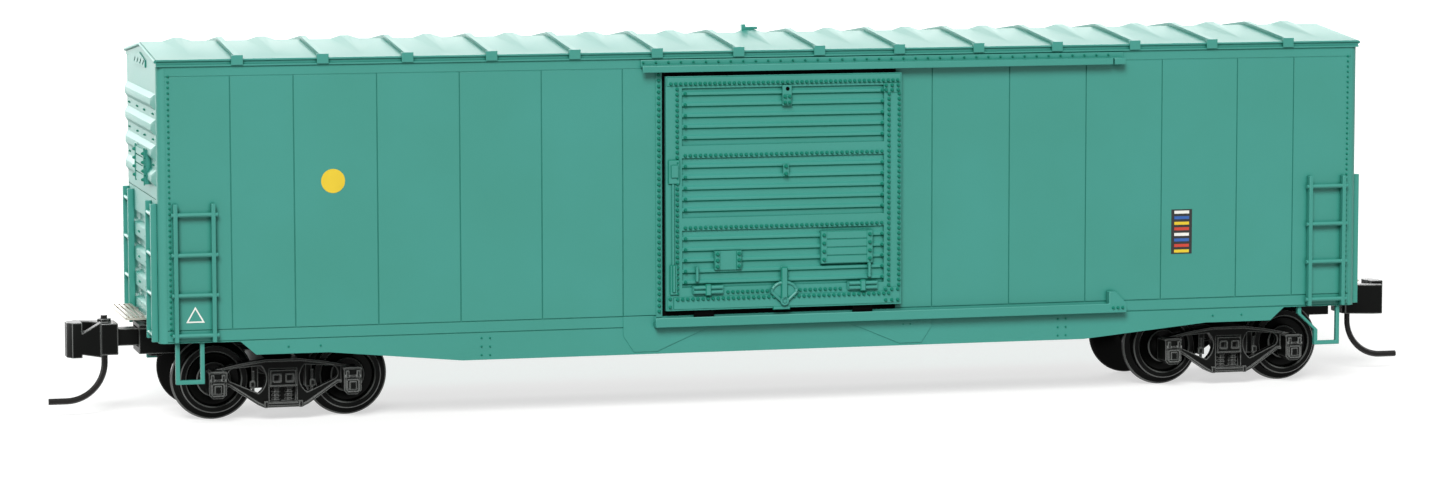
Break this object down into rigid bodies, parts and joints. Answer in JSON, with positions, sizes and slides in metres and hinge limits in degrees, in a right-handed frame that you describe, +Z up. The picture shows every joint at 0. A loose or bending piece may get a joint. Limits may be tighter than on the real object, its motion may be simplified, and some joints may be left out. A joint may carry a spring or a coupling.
{
  "type": "n-scale model railroad boxcar",
  "caption": "Model railroad boxcar: box body with corrugated ends and ribbed sliding side doors, on swivelling trucks with free wheelsets and knuckle couplers.",
  "frame": {"origin": "on the floor under the middle of the car, level with the bottoms of the wheel flanges", "axes": "+X along the car towards its brake end, +Y across it towards the back side, +Z up"},
  "size_m": [0.113, 0.0196, 0.0299],
  "materials": {
    "body_paint": "satin paint",
    "black_plastic": "moulded, low sheen",
    "steel_plate": "plain",
    "etched_metal": "etched",
    "blackened_steel": "blackened"
  },
  "bodies": {
    "carbody": {"side_front": "body_paint", "side_back": "body_paint", "end_left": "body_paint", "end_right": "body_paint", "roof": "body_paint", "upper_track_front": "body_paint", "upper_track_back": "body_paint", "lower_track_front": "body_paint", "lower_track_back": "body_paint", "side_ladder_front_left": "body_paint", "side_ladder_front_right": "body_paint", "side_ladder_back_left": "body_paint", "side_ladder_back_right": "body_paint", "end_ladder_left_front": "body_paint", "end_ladder_left_back": "body_paint", "end_ladder_right_front": "body_paint", "end_ladder_right_back": "body_paint", "step_front_left": "body_paint", "step_front_right": "body_paint", "step_back_left": "body_paint", "step_back_right": "body_paint", "brake_housing": "body_paint", "brake_wheel": "body_paint", "underframe": "black_plastic", "air_brake": "black_plastic", "kingpin_left": "black_plastic", "kingpin_right": "black_plastic", "platform_brackets_left": "black_plastic", "platform_brackets_right": "black_plastic", "weight_plate": "steel_plate", "platform_left": "etched_metal", "platform_right": "etched_metal"},
    "door_front": {"door_front": "body_paint"},
    "door_back": {"door_back": "body_paint"},
    "truck_left": {"truck_frame_left": "black_plastic", "pocket_lid_left": "black_plastic"},
    "truck_right": {"truck_frame_right": "black_plastic", "pocket_lid_right": "black_plastic"},
    "coupler_left": {"coupler_left": "black_plastic", "knuckle_left": "black_plastic", "trip_pin_left": "blackened_steel"},
    "coupler_right": {"coupler_right": "black_plastic", "knuckle_right": "black_plastic", "trip_pin_right": "blackened_steel"},
    "wheelset_1": {"wheelset_1": "black_plastic"},
    "wheelset_2": {"wheelset_2": "black_plastic"},
    "wheelset_3": {"wheelset_3": "black_plastic"},
    "wheelset_4": {"wheelset_4": "black_plastic"}
  },
  "joints": [
    {"name": "door_front_slide", "type": "slide", "parent": "carbody", "child": "door_front", "axis": [1, 0, 0], "range_m": [0, 0.01735]},
    {"name": "door_back_slide", "type": "slide", "parent": "carbody", "child": "door_back", "axis": [-1, 0, 0], "range_m": [0, 0.01735]},
    {"name": "truck_left_swivel", "type": "hinge", "parent": "carbody", "child": "truck_left", "pos_m": [-0.0391, 0, 0.005], "axis": [0, 0, 1], "range_deg": [-12, 12]},
    {"name": "truck_right_swivel", "type": "hinge", "parent": "carbody", "child": "truck_right", "pos_m": [0.0391, 0, 0.005], "axis": [0, 0, 1], "range_deg": [-12, 12]},
    {"name": "wheelset_1_turn", "type": "hinge", "parent": "truck_left", "child": "wheelset_1", "pos_m": [-0.04435, 0, 0.00325], "axis": [0, 1, 0], "continuous": true},
    {"name": "wheelset_2_turn", "type": "hinge", "parent": "truck_left", "child": "wheelset_2", "pos_m": [-0.03385, 0, 0.00325], "axis": [0, 1, 0], "continuous": true},
    {"name": "wheelset_3_turn", "type": "hinge", "parent": "truck_right", "child": "wheelset_3", "pos_m": [0.03385, 0, 0.00325], "axis": [0, 1, 0], "continuous": true},
    {"name": "wheelset_4_turn", "type": "hinge", "parent": "truck_right", "child": "wheelset_4", "pos_m": [0.04435, 0, 0.00325], "axis": [0, 1, 0], "continuous": true},
    {"name": "coupler_left_swing", "type": "hinge", "parent": "truck_left", "child": "coupler_left", "pos_m": [-0.04815, 0, 0.00622], "axis": [0, 0, 1], "range_deg": [-8, 8], "stiffness_Nm_per_rad": 0.0002},
    {"name": "coupler_right_swing", "type": "hinge", "parent": "truck_right", "child": "coupler_right", "pos_m": [0.04815, 0, 0.00622], "axis": [0, 0, 1], "range_deg": [-8, 8], "stiffness_Nm_per_rad": 0.0002}
  ]
}
